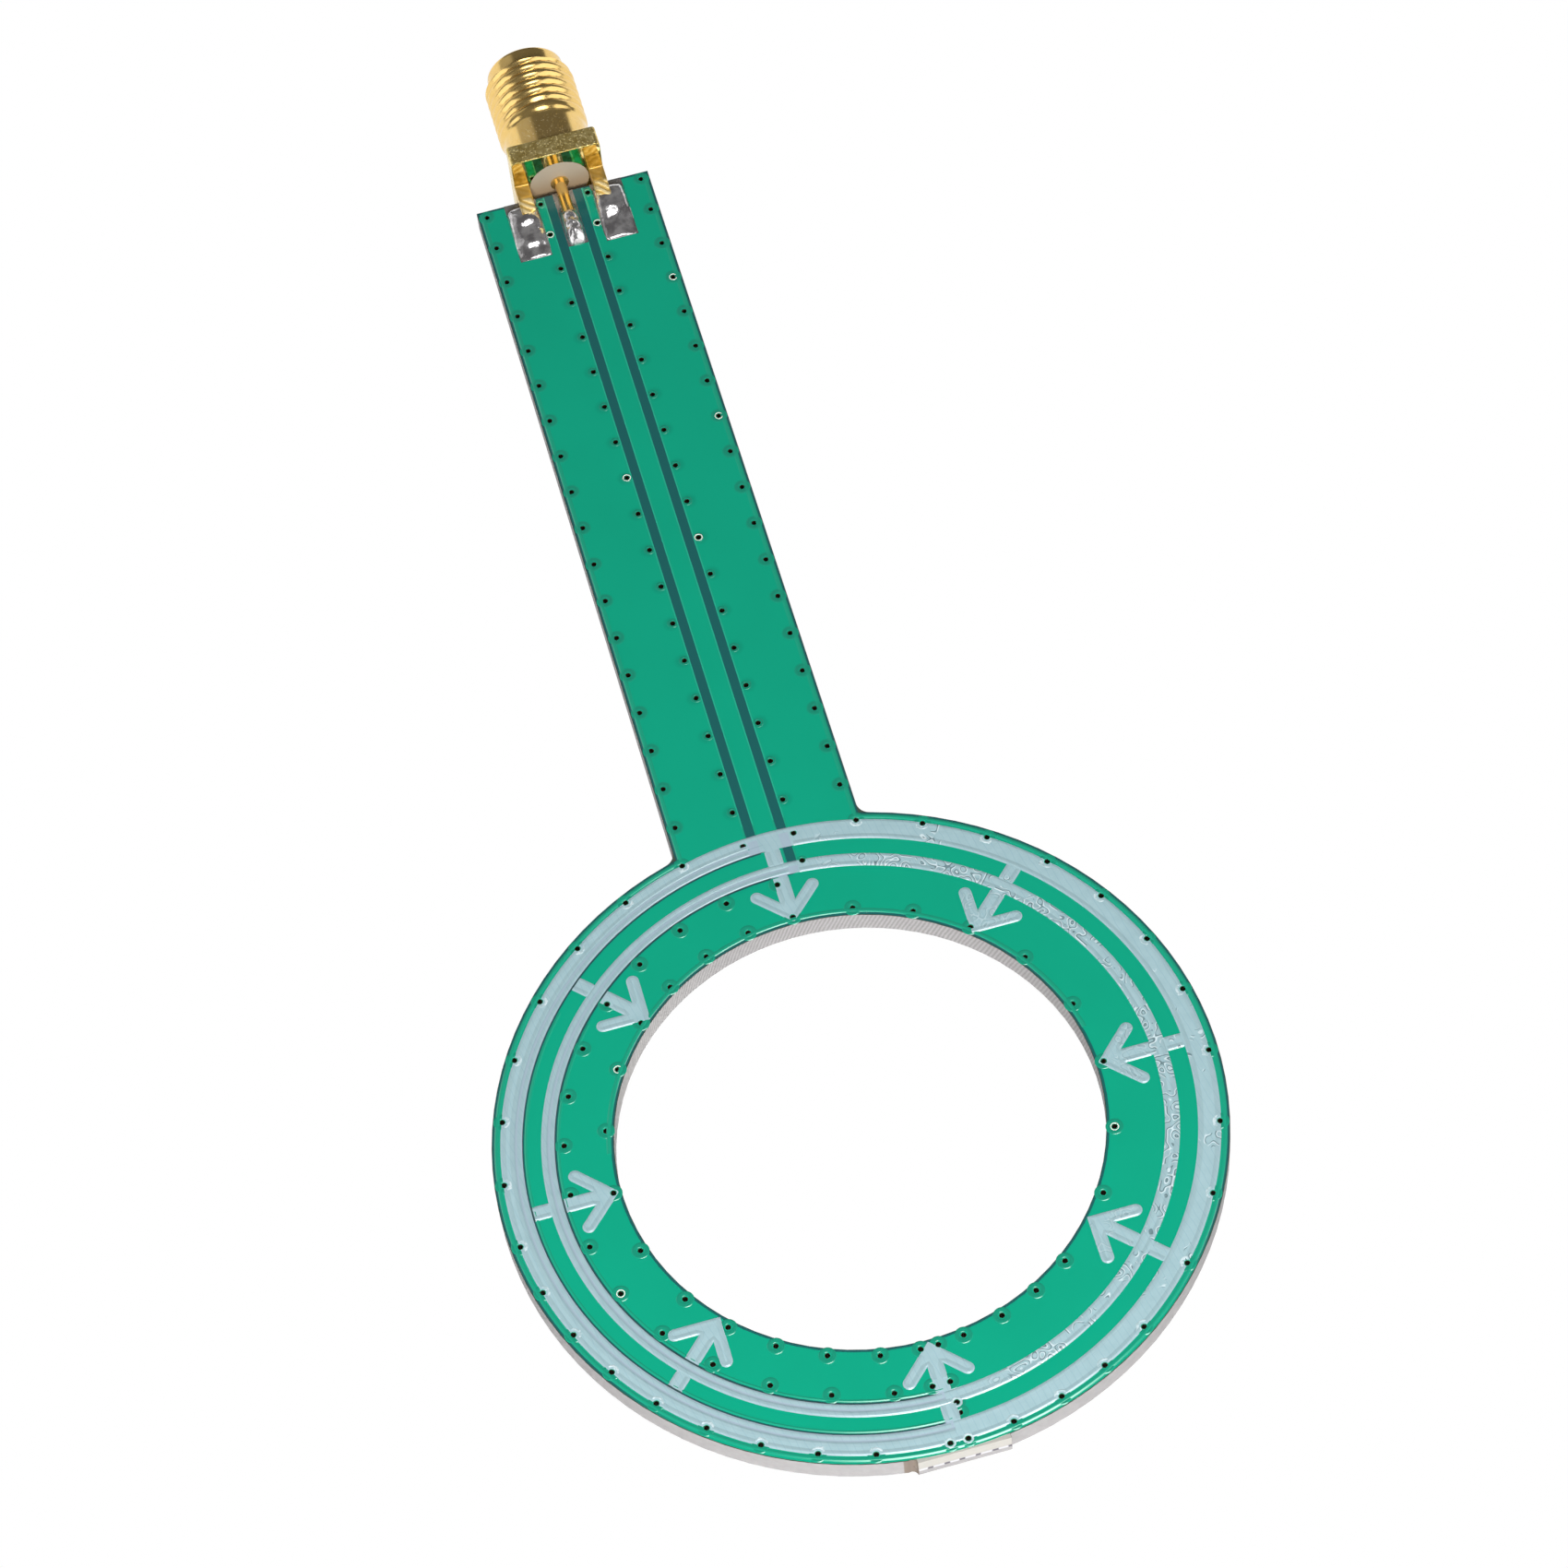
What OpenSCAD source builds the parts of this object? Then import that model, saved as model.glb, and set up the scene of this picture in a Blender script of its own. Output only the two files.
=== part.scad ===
// Loop probe for near magnetic fields: a printed circuit board milled to a ring on a flat handle, with a
// grounded pick-up loop etched into the ring and a coaxial edge jack soldered to the handle's end.
// The origin is the centre of the loop on the laminate's mid-plane, and +Y runs along the handle to the jack.

/* [Laminate] */
// Outside diameter of the ring
loop_d = 45; // [38:0.5:60]
// Width of the ring, from its outer edge to the window
ring_w = 7.5; // [6.5:0.1:10]
// Width of the handle
handle_w = 12; // [11:0.5:16]
// Distance from the centre of the loop to the handle's end
handle_end = 75.3; // [60:0.1:110]
// Thickness of the laminate
board_t = 1.6; // [1:0.1:2]
// Radius left by the milling cutter where the handle meets the ring
root_r = 0.9; // [0.4:0.1:2]
// Width of the stub left by the breakaway tab
tab_w = 6; // [4:0.5:9]
// How far the broken web of the stub stands out of the ring
tab_out = 0.14; // [0.12:0.01:0.6]
// Thickness of that web, between the scored grooves of the two faces
web_t = 0.35; // [0.2:0.05:0.6]
// How far the grooves' faces fall back from the web
score_in = 0.08; // [0.04:0.01:0.1]
// Diameter of the cutter's notch at the stub's left end
notch_d = 0.75; // [0.5:0.05:1]

/* [Foil and vias] */
// Thickness of the copper foil
foil_t = 0.035; // [0.02:0.005:0.07]
// How far the foil stays back from the milled edges
foil_back = 0.2; // [0.1:0.05:0.3]
// Width of the trace
trace_w = 1.4; // [0.8:0.1:1.6]
// Width of the gap on each side of the trace
gap_w = 0.6; // [0.3:0.05:0.7]
// Distance from the ring's outer edge to the middle of the trace
trace_inset = 2.7; // [2.4:0.1:2.9]
// Diameter of a drilled via hole
via_d = 0.4; // [0.3:0.05:0.5]
// Thickness of the copper plated into a via hole
plating_t = 0.05; // [0.02:0.01:0.08]
// Distance between vias along the handle
via_pitch = 3; // [2:0.5:5]
// Distance of the edge vias from the board's outer edges
via_edge = 0.6; // [0.55:0.05:0.8]
// Distance of the window vias from the window's edge
via_window = 0.5; // [0.5:0.05:0.7]
// Distance of the fence vias from the gap that they line
via_fence = 0.35; // [0.35:0.05:0.6]
// Distance from the ring's edge to the first row of vias on the handle
first_row = 1.5; // [1:0.1:3]
// Half the distance between the paired vias at the far end of the loop
pair_x = 0.55; // [0.4:0.05:0.8]

/* [Mask and legend] */
// Thickness of the solder mask on the foil
mask_t = 0.025; // [0.02:0.005:0.04]
// How far the mask sinks where there is no foil under it
mask_dip = 0.015; // [0.005:0.005:0.015]
// How far the mask stays back from the milled edges
mask_back = 0.05; // [0:0.01:0.1]
// Diameter of the hole in the mask over a via
mask_hole_d = 0.35; // [0.25:0.05:0.45]
// Thickness of the printed legend
legend_t = 0.02; // [0.015:0.005:0.03]
// Width of the legend's outer band, outwards from the trace
outer_band_w = 1.35; // [0.8:0.05:1.5]
// Width of the legend's inner band, outwards from the inner gap's edge
inner_band_w = 0.85; // [0.5:0.05:1.2]
// How far the bands lie outside the edges of the gaps that they follow
legend_off = 0.08; // [0.02:0.01:0.1]
// Width of an arrow's shaft
shaft_w = 0.94; // [0.5:0.02:1.2]
// Width of the two arms of an arrow's head
arm_w = 0.75; // [0.4:0.05:1]
// Length of an arm from the arrow's point to its round end
arm_l = 3.3; // [2:0.1:4]
// Angle between an arm and the arrow's shaft
arm_angle = 45; // [35:1:55]
// Distance of an arrow's point from the window's edge
point_gap = 0.15; // [0.12:0.01:0.4]
// How far the two upper slanted arrows lie off their radius, towards the handle
upper_shift = 0.5; // [0:0.05:0.6]
// How far the two lower slanted arrows lie off their radius, towards the handle
lower_shift = 1.05; // [0:0.05:1.2]
// Diameter kept free of legend around a via
legend_hole_d = 0.42; // [0.4:0.02:0.6]

/* [Solder pads and joints] */
// Width of the bare pad under a leg
pad_w = 2.2; // [1.4:0.1:2.4]
// Length of that pad from the handle's end
pad_l = 5; // [3.5:0.1:7]
// How far the pad's middle lies outside the leg's middle
pad_shift = 0.4; // [0.2:0.05:0.5]
// Length of the bare end of the trace
signal_pad_l = 4.7; // [4:0.1:7]
// Height of a solder joint at the leg
leg_joint_h = 0.9; // [0.6:0.05:1]
// Height of the solder joint along the pin
pin_joint_h = 0.95; // [0.9:0.05:1.2]
// Thickness of the solder at the rim of a joint
joint_rim = 0.12; // [0.05:0.01:0.2]
// Margin of bare pad left around a joint
joint_margin = 0.05; // [0.02:0.01:0.1]

/* [Jack] */
// Side of the square flange
flange_w = 6.2; // [6:0.05:7]
// Thickness of the flange
flange_t = 1.55; // [1.2:0.05:2.5]
// Radius of the flange's corners
flange_r = 0.25; // [0.1:0.05:0.4]
// Gap between the handle's end and the flange
flange_gap = 0.55; // [0.2:0.05:1]
// Diameter of the plain shank between flange and thread
shank_d = 5.8; // [5.4:0.05:6]
// Length of the shank
shank_l = 2.5; // [1:0.1:4]
// Outside diameter of the thread
thread_d = 6.2; // [6.1:0.05:6.35]
// Length of the threaded stretch with its lead-in cones
thread_l = 4.5; // [3:0.1:7]
// Diameter of the plain lip in front of the thread
lip_d = 5.3; // [5.1:0.05:5.5]
// Length of the lip
lip_l = 1.45; // [1:0.05:2]
// Chamfer on the front edge of the lip
lip_chamfer = 0.12; // [0.05:0.01:0.15]
// Diameter of the bore that takes the plug
bore_d = 4.6; // [4.4:0.05:4.7]
// Depth of that bore, down to the insulator
bore_l = 1.9; // [1.5:0.1:2.5]
// Width of a leg
leg_w = 1; // [0.7:0.05:1]
// Thickness of an upper leg
leg_t = 1.05; // [1.05:0.05:1.4]
// Length of a leg on its longer, outer side
leg_l = 2.55; // [1.5:0.05:4]
// How much shorter a leg is on its inner side
leg_cut = 0.5; // [0.1:0.05:0.8]
// Diameter of the insulator
dielectric_d = 4.1; // [3.6:0.05:4.15]
// Diameter of the contact inside the insulator
contact_d = 1.27; // [1.2:0.01:1.6]
// How far the contact's collar stands out behind the insulator
collar_l = 0.12; // [0.05:0.01:0.3]
// Diameter of the contact's pin
pin_d = 0.8; // [0.6:0.02:0.84]
// Length of the pin behind the flange
pin_l = 4.6; // [3.5:0.1:5]
// Chamfer on the pin's end
pin_chamfer = 0.1; // [0.05:0.01:0.2]
// Diameter of the contact's socket
socket_d = 0.94; // [0.9:0.01:1]
// Depth of the socket
socket_l = 2.6; // [2:0.1:3.5]
// Width of the slots that make the socket springy
slot_w = 0.12; // [0.08:0.01:0.14]
// Length of those slots
slot_l = 2; // [1:0.1:2.5]

/* [Hidden] */
$fn = 96;

// Overlap that lets joined shapes share some volume
join = 0.5;

// Radii in the ring
loop_r = loop_d / 2;
window_r = loop_r - ring_w;
trace_r = loop_r - trace_inset;
gap_near = trace_w / 2;
gap_far = gap_near + gap_w;

// Centre of the milling cutter in the corner between the handle's right side and the ring
root_x = handle_w / 2 + root_r;
root_y = sqrt(pow(loop_r + root_r, 2) - root_x * root_x);

// Centre of the notch beside the stub, which stops short of the mask
notch_x = tab_w / 2 + notch_d / 6;
notch_y = sqrt(pow(loop_r, 2) - notch_x * notch_x) + notch_d / 2 - 0.8 * mask_back;

// Heights of the layers, from the laminate's faces outwards
top_z = board_t / 2;
foil_top = top_z + foil_t;
mask_top = foil_top + mask_t;
dip_top = mask_top - mask_dip;
under_z = -board_t / 2;
under_foil = under_z + mask_t;
pocket_z = under_foil + foil_t;

// Places of the vias: rows on the handle, runs of [radius, first angle, last angle, number] round the
// ring, pairs at the far end of the loop, and single ones where the gaps turn and where the trace ends
edge_x = handle_w / 2 - via_edge;
fence_x = gap_far + via_fence;
edge_row_r = loop_r - via_edge;
window_row_r = window_r + via_window;
gap_row_r = trace_r - gap_far - via_fence - via_d / 4;
end_row = handle_end - via_edge;
last_row_gap = 0.4 * via_pitch;
row_y = [for (y = [loop_r + first_row : via_pitch : end_row - last_row_gap]) y, end_row];
turn_drop = 0.5;
short_reach = 0.35;
arc_runs = [
    [edge_row_r, 105, 185, 8],
    [edge_row_r, 194, 257, 8],
    [edge_row_r, 75, 9, 7],
    [edge_row_r, -3, -55, 5],
    [edge_row_r, -64, -81, 3],
    [window_row_r, 0, 33, 3],
    [window_row_r, 48, 90, 4],
    [window_row_r, 101, 135, 4],
    [window_row_r, 148, 212, 5],
    [window_row_r, 224, 259, 4],
    [window_row_r, 278, 307, 4],
    [window_row_r, 326, 343, 2],
    [gap_row_r, 91, 178, 9],
    [gap_row_r, 190, 261, 7]
];

// Points spread evenly over one run
function run_points(run) = [
    for (i = [0 : run[3] - 1])
        let (a = run[1] + (run[2] - run[1]) * i / (run[3] - 1))
        run[0] * [cos(a), sin(a)]
];

vias = concat(
    [for (x = [-edge_x, -fence_x, fence_x, edge_x], y = row_y) [x, y]],
    [for (run = arc_runs) each run_points(run)],
    [for (s = [-1, 1], r = [edge_row_r, window_row_r, gap_row_r]) [s * pair_x, -r]],
    [for (s = [-1, 1]) [pair_x, -trace_r + s * short_reach]],
    [for (s = [-1, 1]) [s * fence_x, edge_row_r - turn_drop]],
    [[fence_x, trace_r - turn_drop]]
);

// Turn of each arrow from the handle's side, and its shift across the shaft
arrow_places = [
    [0, 0],
    [45, upper_shift],
    [90, 0],
    [135, lower_shift],
    [180, 0],
    [225, -lower_shift],
    [270, 0],
    [315, -upper_shift]
];

// Places in the jack, along its axis from the flange's rear face
flange_y = handle_end + flange_gap;
axis_z = foil_top + pin_d / 2;
thread_z = flange_t + shank_l;
lip_z = thread_z + thread_l;
front_z = lip_z + lip_l;
seat_z = front_z - bore_l;
leg_x = flange_w / 2 - leg_w / 2;
pad_x = leg_x + pad_shift;
flange_under = axis_z - flange_w / 2;
slot_angles = [0, 90];

// Solder mounds
joint_w = pad_w - 2 * joint_margin;
joint_l = pad_l - 2 * joint_margin;
joint_y = handle_end - pad_l / 2;
pin_joint_w = trace_w - 2 * joint_margin;
pin_joint_l = signal_pad_l - flange_gap;
pin_joint_y = handle_end - signal_pad_l + pin_joint_l / 2;
pin_joint_end = 0.45;

// Radius of an arc of the given chord and height
function arc_r(chord, height) = (chord * chord / 4 + height * height) / (2 * height);

// Circles of one diameter at every via
module via_circles(d) {
    for (p = vias) {
        translate(p) circle(d = d, $fn = 24);
    }
}

// Ring and handle with sharp inner corners, drawn back from every edge by the same amount
module ring_and_handle(back) {
    difference() {
        union() {
            circle(r = loop_r - back);
            translate([back - handle_w / 2, 0]) square([handle_w - 2 * back, handle_end - back]);
        }
        circle(r = window_r + back);
    }
}

// Foot of the handle, flared out to the cutter's centres and down into the ring
module handle_foot() {
    s = (loop_r - ring_w / 2) / loop_r;
    polygon([
        [-handle_w / 2, root_y + root_r],
        [-handle_w / 2, root_y],
        [-root_x, root_y],
        [-root_x, root_y] * s,
        [root_x, root_y] * s,
        [root_x, root_y],
        [handle_w / 2, root_y],
        [handle_w / 2, root_y + root_r]
    ]);
}

// Stub of the breakaway tab, rooted in the ring: scored on both faces and snapped through the web between
module tab_stub() {
    root = ring_w / 2 - loop_r;
    web_y = -loop_r - tab_out;
    translate([-tab_w / 2, 0, 0]) rotate([90, 0, 90]) linear_extrude(tab_w) polygon([
        [root, under_z],
        [web_y + score_in, under_z],
        [web_y, -web_t / 2],
        [web_y, web_t / 2],
        [web_y + score_in, top_z],
        [root, top_z]
    ]);
}

// Outline of the laminate without the stub
module board_outline() {
    difference() {
        union() {
            circle(r = loop_r);
            handle_foot();
            translate([-handle_w / 2, root_y]) square([handle_w, handle_end - root_y]);
        }
        circle(r = window_r);
        for (side = [-1, 1]) {
            translate([side * root_x, root_y]) circle(r = root_r);
        }
    }
}

// The two gaps beside the trace: they run down the handle, then round the left half of the loop
module gaps() {
    inner_turn = [gap_near, sqrt(pow(trace_r - gap_near, 2) - gap_near * gap_near)];
    difference() {
        translate([-gap_far, 0]) square([gap_w, handle_end]);
        circle(r = trace_r + gap_near);
    }
    translate([gap_near, inner_turn[1]]) square([gap_w, handle_end - inner_turn[1]]);
    intersection() {
        translate(inner_turn) circle(r = gap_w);
        translate(inner_turn - [0, gap_w]) square(gap_w);
    }
    intersection() {
        difference() {
            circle(r = trace_r - gap_near);
            circle(r = trace_r - gap_far);
        }
        union() {
            translate([-loop_r, -loop_r]) square([loop_r, loop_d]);
            square([gap_near, loop_r]);
        }
    }
    intersection() {
        difference() {
            circle(r = trace_r + gap_far);
            circle(r = trace_r + gap_near);
        }
        union() {
            translate([-loop_r, -loop_r]) square([loop_r, loop_r]);
            translate([-loop_r, 0]) square([loop_r - gap_near, loop_r]);
        }
    }
}

// Bare pads for the two legs on one face
module leg_pads() {
    for (side = [-1, 1]) {
        translate([side * pad_x - pad_w / 2, handle_end - pad_l]) square([pad_w, pad_l]);
    }
}

// Bare end of the trace
module signal_pad() {
    translate([-trace_w / 2, handle_end - signal_pad_l]) square([trace_w, signal_pad_l]);
}

// Foil of the top face, before it is drilled
module foil_shape() {
    difference() {
        union() {
            ring_and_handle(foil_back);
            leg_pads();
            signal_pad();
        }
        gaps();
    }
}

// Ground plane of the underside, before it is drilled
module plane_shape() {
    ring_and_handle(foil_back);
    leg_pads();
}

// An inward arrow on the +Y side of the loop
module arrow() {
    heel = arm_w / 2 / tan(arm_angle);
    fork_y = window_r + point_gap + arm_w / 2 / sin(arm_angle);
    bar_l = arm_l - arm_w / 2;
    translate([-shaft_w / 2, fork_y]) square([shaft_w, trace_r + gap_near + outer_band_w / 2 - fork_y]);
    for (side = [-1, 1]) {
        translate([0, fork_y]) rotate(side * arm_angle) translate([-arm_w / 2, -heel]) {
            square([arm_w, bar_l]);
            translate([arm_w / 2, bar_l]) circle(d = arm_w);
        }
    }
}

// A printed band of the given inner radius and width
module band(r, w) {
    difference() {
        circle(r = r + w);
        circle(r = r);
    }
}

module legend_shape() {
    difference() {
        union() {
            band(trace_r + gap_near + legend_off, outer_band_w);
            band(trace_r - gap_far + legend_off, inner_band_w);
            for (place = arrow_places) {
                rotate(place[0]) translate([place[1], 0]) arrow();
            }
        }
        via_circles(legend_hole_d);
    }
}

// A film of the given shape on the top face: high where there is foil under it, low where there is none
module top_film(foil_z0, foil_z1, bare_z0, bare_z1) {
    translate([0, 0, foil_z0]) linear_extrude(foil_z1 - foil_z0) intersection() {
        children();
        foil_shape();
    }
    translate([0, 0, bare_z0]) linear_extrude(bare_z1 - bare_z0) difference() {
        children();
        foil_shape();
    }
}

// Glass-epoxy laminate, drilled for the vias, with its underside let in for the ground plane
module board() {
    color("#c9c6bd") difference() {
        union() {
            translate([0, 0, under_z]) linear_extrude(board_t) board_outline();
            tab_stub();
        }
        translate([0, 0, under_z - join]) linear_extrude(board_t + 2 * join) {
            via_circles(via_d);
            translate([-notch_x, -notch_y]) circle(d = notch_d, $fn = 24);
        }
        translate([0, 0, under_z - join]) linear_extrude(pocket_z - under_z + join) plane_shape();
    }
}

// Etched foil: the ground pour and the trace, which join at the far end of the loop
module top_copper() {
    color("#b87f4a") translate([0, 0, top_z]) linear_extrude(foil_t) difference() {
        foil_shape();
        via_circles(via_d);
    }
}

// Ground plane under the laminate
module bottom_copper() {
    color("#b87f4a") translate([0, 0, under_foil]) linear_extrude(foil_t) difference() {
        plane_shape();
        via_circles(via_d);
    }
}

// Plated barrels, from the ground plane's face to the foil's face
module via_plating() {
    color("#b8874a") translate([0, 0, under_foil]) linear_extrude(foil_top - under_foil) difference() {
        via_circles(via_d);
        via_circles(via_d - 2 * plating_t);
    }
}

// Solder mask of the top face, open at the pads and over the vias
module top_mask() {
    color("#10a07a") top_film(foil_top, mask_top, top_z, dip_top) difference() {
        ring_and_handle(mask_back);
        leg_pads();
        signal_pad();
        via_circles(mask_hole_d);
    }
}

// Solder mask of the underside, flush with the laminate's edge
module bottom_mask() {
    color("#10a07a") translate([0, 0, under_z]) linear_extrude(mask_t) difference() {
        ring_and_handle(foil_back);
        leg_pads();
        via_circles(mask_hole_d);
    }
}

// Printed legend on the mask
module legend() {
    color("#b2ccd4") {
        top_film(mask_top, mask_top + legend_t, dip_top, dip_top + legend_t) legend_shape();
    }
}

// Puts a shape turned about Z on the jack's axis, with its zero at the flange's rear face
module on_jack_axis() {
    translate([0, flange_y, axis_z]) rotate([-90, 0, 0]) children();
}

// Square with round corners
module rounded_square(w, r) {
    square([w, w - 2 * r], center = true);
    square([w - 2 * r, w], center = true);
    for (x = [-1, 1], y = [-1, 1]) {
        translate([x, y] * (w / 2 - r)) circle(r = r);
    }
}

// Plan of one leg, longer on its outer side
module leg_plan(side) {
    inner = side * (flange_w / 2 - leg_w);
    outer = side * flange_w / 2;
    tip_y = flange_y - leg_l;
    heel_y = flange_y + flange_t / 2;
    polygon([[inner, heel_y], [outer, heel_y], [outer, tip_y], [inner, tip_y + leg_cut]]);
}

// The four legs: the upper ones stand on the top pads, the lower ones end flush with the flange
module legs() {
    intersection() {
        for (side = [-1, 1]) {
            translate([0, 0, foil_top]) linear_extrude(leg_t) leg_plan(side);
            translate([0, 0, flange_under]) linear_extrude(under_foil - flange_under) leg_plan(side);
        }
        on_jack_axis() translate([0, 0, -leg_l]) linear_extrude(leg_l + flange_t) {
            rounded_square(flange_w, flange_r);
        }
    }
}

// Half section of the barrel: shank, thread at its full diameter, and lip
module barrel_section() {
    polygon([
        [0, 0],
        [shank_d / 2, 0],
        [shank_d / 2, thread_z],
        [thread_d / 2, thread_z + (thread_d - shank_d) / 2],
        [thread_d / 2, lip_z - (thread_d - lip_d) / 2],
        [lip_d / 2, lip_z],
        [lip_d / 2, front_z - lip_chamfer],
        [lip_d / 2 - lip_chamfer, front_z],
        [0, front_z]
    ]);
}

// Gold-plated body of the jack, turned and milled from one bar
module jack_body() {
    color("#d6ac4f") difference() {
        union() {
            on_jack_axis() {
                rotate_extrude() barrel_section();
                linear_extrude(flange_t) rounded_square(flange_w, flange_r);
            }
            legs();
        }
        on_jack_axis() {
            translate([0, 0, -join]) cylinder(d = dielectric_d, h = seat_z + 2 * join);
            translate([0, 0, seat_z]) cylinder(d = bore_d, h = bore_l + join);
        }
    }
}

// White insulator, from the flange's rear face to the seat of the bore
module jack_dielectric() {
    color("#e6e1d8") on_jack_axis() difference() {
        cylinder(d = dielectric_d, h = seat_z);
        translate([0, 0, -join]) cylinder(d = contact_d, h = seat_z + 2 * join);
    }
}

// Half section of the contact: pin, collar and the stretch inside the insulator
module contact_section() {
    polygon([
        [0, -pin_l],
        [pin_d / 2 - pin_chamfer, -pin_l],
        [pin_d / 2, pin_chamfer - pin_l],
        [pin_d / 2, -collar_l],
        [contact_d / 2, -collar_l],
        [contact_d / 2, seat_z],
        [0, seat_z]
    ]);
}

// Gold-plated centre contact with a slotted socket in front
module jack_contact() {
    color("#d9a93f") on_jack_axis() difference() {
        rotate_extrude() contact_section();
        translate([0, 0, seat_z - socket_l]) cylinder(d = socket_d, h = socket_l + join);
        for (a = slot_angles) {
            rotate(a) translate([-slot_w / 2, -contact_d, seat_z - slot_l]) {
                cube([slot_w, 2 * contact_d, slot_l + join]);
            }
        }
    }
}

// A crowned mound on a thin rim: two arcs crossed at right angles
module mound(w, l, h) {
    crown = h - joint_rim;
    across_r = arc_r(w, crown);
    along_r = arc_r(l, crown);
    translate([-w / 2, -l / 2, 0]) cube([w, l, joint_rim]);
    intersection() {
        translate([-w / 2, -l / 2, 0]) cube([w, l, h]);
        translate([0, -l / 2, h - across_r]) rotate([-90, 0, 0]) cylinder(r = across_r, h = l);
        translate([-w / 2, 0, h - along_r]) rotate([0, 90, 0]) cylinder(r = along_r, h = w);
    }
}

// Joint of an upper leg, on the left for side -1 and on the right for side 1
module leg_joint(side) {
    difference() {
        translate([side * pad_x, joint_y, foil_top]) mound(joint_w, joint_l, leg_joint_h);
        translate([0, 0, foil_top - join]) linear_extrude(leg_joint_h + 2 * join) leg_plan(side);
    }
}

// Joint of a lower leg, hanging from the pads of the underside
module leg_joint_under(side) {
    difference() {
        translate([side * pad_x, joint_y, under_foil]) rotate([180, 0, 0]) {
            mound(joint_w, joint_l, leg_joint_h);
        }
        translate([0, 0, flange_under]) linear_extrude(under_foil + join - flange_under) leg_plan(side);
    }
}

// Joint along the pin: a ridge with a steep far end and a long slope towards the jack
module solder_signal() {
    l = pin_joint_l;
    h = pin_joint_h;
    across_r = arc_r(pin_joint_w, h - joint_rim);
    color("#b9b6b4") difference() {
        translate([0, pin_joint_y, foil_top]) intersection() {
            translate([-pin_joint_w / 2, 0, 0]) rotate([90, 0, 90]) linear_extrude(pin_joint_w) {
                polygon([[-l / 2, 0], [pin_joint_end - l / 2, h], [l / 6, h], [l / 2, joint_rim], [l / 2, 0]]);
            }
            translate([0, -l / 2, h - across_r]) rotate([-90, 0, 0]) cylinder(r = across_r, h = l);
        }
        on_jack_axis() rotate_extrude() contact_section();
    }
}

module solder_left() {
    color("#b9b6b4") leg_joint(-1);
}

module solder_right() {
    color("#b9b6b4") leg_joint(1);
}

module solder_left_under() {
    color("#b9b6b4") leg_joint_under(-1);
}

module solder_right_under() {
    color("#b9b6b4") leg_joint_under(1);
}

board();
top_copper();
bottom_copper();
via_plating();
top_mask();
bottom_mask();
legend();
jack_body();
jack_dielectric();
jack_contact();
solder_signal();
solder_left();
solder_right();
solder_left_under();
solder_right_under();
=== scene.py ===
import bmesh
import bpy
import numpy as np
from mathutils import Matrix


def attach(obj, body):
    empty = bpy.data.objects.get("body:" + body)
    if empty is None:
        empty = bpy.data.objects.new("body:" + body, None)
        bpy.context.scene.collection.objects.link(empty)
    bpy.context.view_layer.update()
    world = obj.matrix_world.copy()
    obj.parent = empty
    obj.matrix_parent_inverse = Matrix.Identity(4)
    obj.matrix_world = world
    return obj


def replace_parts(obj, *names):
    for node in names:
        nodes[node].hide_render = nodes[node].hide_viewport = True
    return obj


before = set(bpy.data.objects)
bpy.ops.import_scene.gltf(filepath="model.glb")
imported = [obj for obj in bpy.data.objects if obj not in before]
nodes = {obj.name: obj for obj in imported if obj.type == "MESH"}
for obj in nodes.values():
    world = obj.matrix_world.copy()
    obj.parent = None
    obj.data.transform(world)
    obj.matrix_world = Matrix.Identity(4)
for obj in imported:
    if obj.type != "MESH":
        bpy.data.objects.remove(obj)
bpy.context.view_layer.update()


# Laminate
# The glass-epoxy board, pressed from plies of woven glass and milled to a ring on a handle.
# The cutter leaves the weave bare on every edge, and the tab at the far end is snapped off.
class Sock:
    """A value in a shader tree. Arithmetic on it adds Math nodes, and node() adds any other node."""

    def __init__(self, tree, socket):
        self.tree = tree
        self.socket = socket

    def node(self, kind, settings, sockets, out=0):
        new = self.tree.nodes.new(kind)
        for name, value in settings.items():
            setattr(new, name, value)
        for name, value in sockets.items():
            if isinstance(value, Sock):
                self.tree.links.new(value.socket, new.inputs[name])
            else:
                new.inputs[name].default_value = value
        return Sock(self.tree, new.outputs[out])

    def math(self, operation, *others):
        return self.node("ShaderNodeMath", {"operation": operation}, dict(enumerate((self, *others))))

    def __add__(self, other):
        return self.math("ADD", other)

    __radd__ = __add__

    def __mul__(self, other):
        return self.math("MULTIPLY", other)

    __rmul__ = __mul__

    def __sub__(self, other):
        return self.math("SUBTRACT", other)

    def __rsub__(self, other):
        return (self * -1.0) + other

    def __abs__(self):
        return self.math("ABSOLUTE")

    def smooth(self, low, high):
        """0 below low, 1 above high, and an S between them."""
        limits = {"Value": self, "From Min": low, "From Max": high}
        return self.node("ShaderNodeMapRange", {"interpolation_type": "SMOOTHSTEP"}, limits)

    def blend(self, first, second):
        """The first colour where this value is 0 and the second where it is 1."""
        return self.node("ShaderNodeMix", {"data_type": "RGBA"}, {0: self, 6: first, 7: second}, out=2)

    def axis(self, index):
        return self.node("ShaderNodeSeparateXYZ", {}, {0: self}, out=index)

    def noise(self, scale, detail=2.0):
        return self.node("ShaderNodeTexNoise", {}, {"Vector": self, "Scale": scale, "Detail": detail})

    def bump(self, distance, strength):
        return self.node("ShaderNodeBump", {}, {"Height": self, "Distance": distance, "Strength": strength})

    def into(self, shader, name):
        self.tree.links.new(self.socket, shader.inputs[name])


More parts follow.
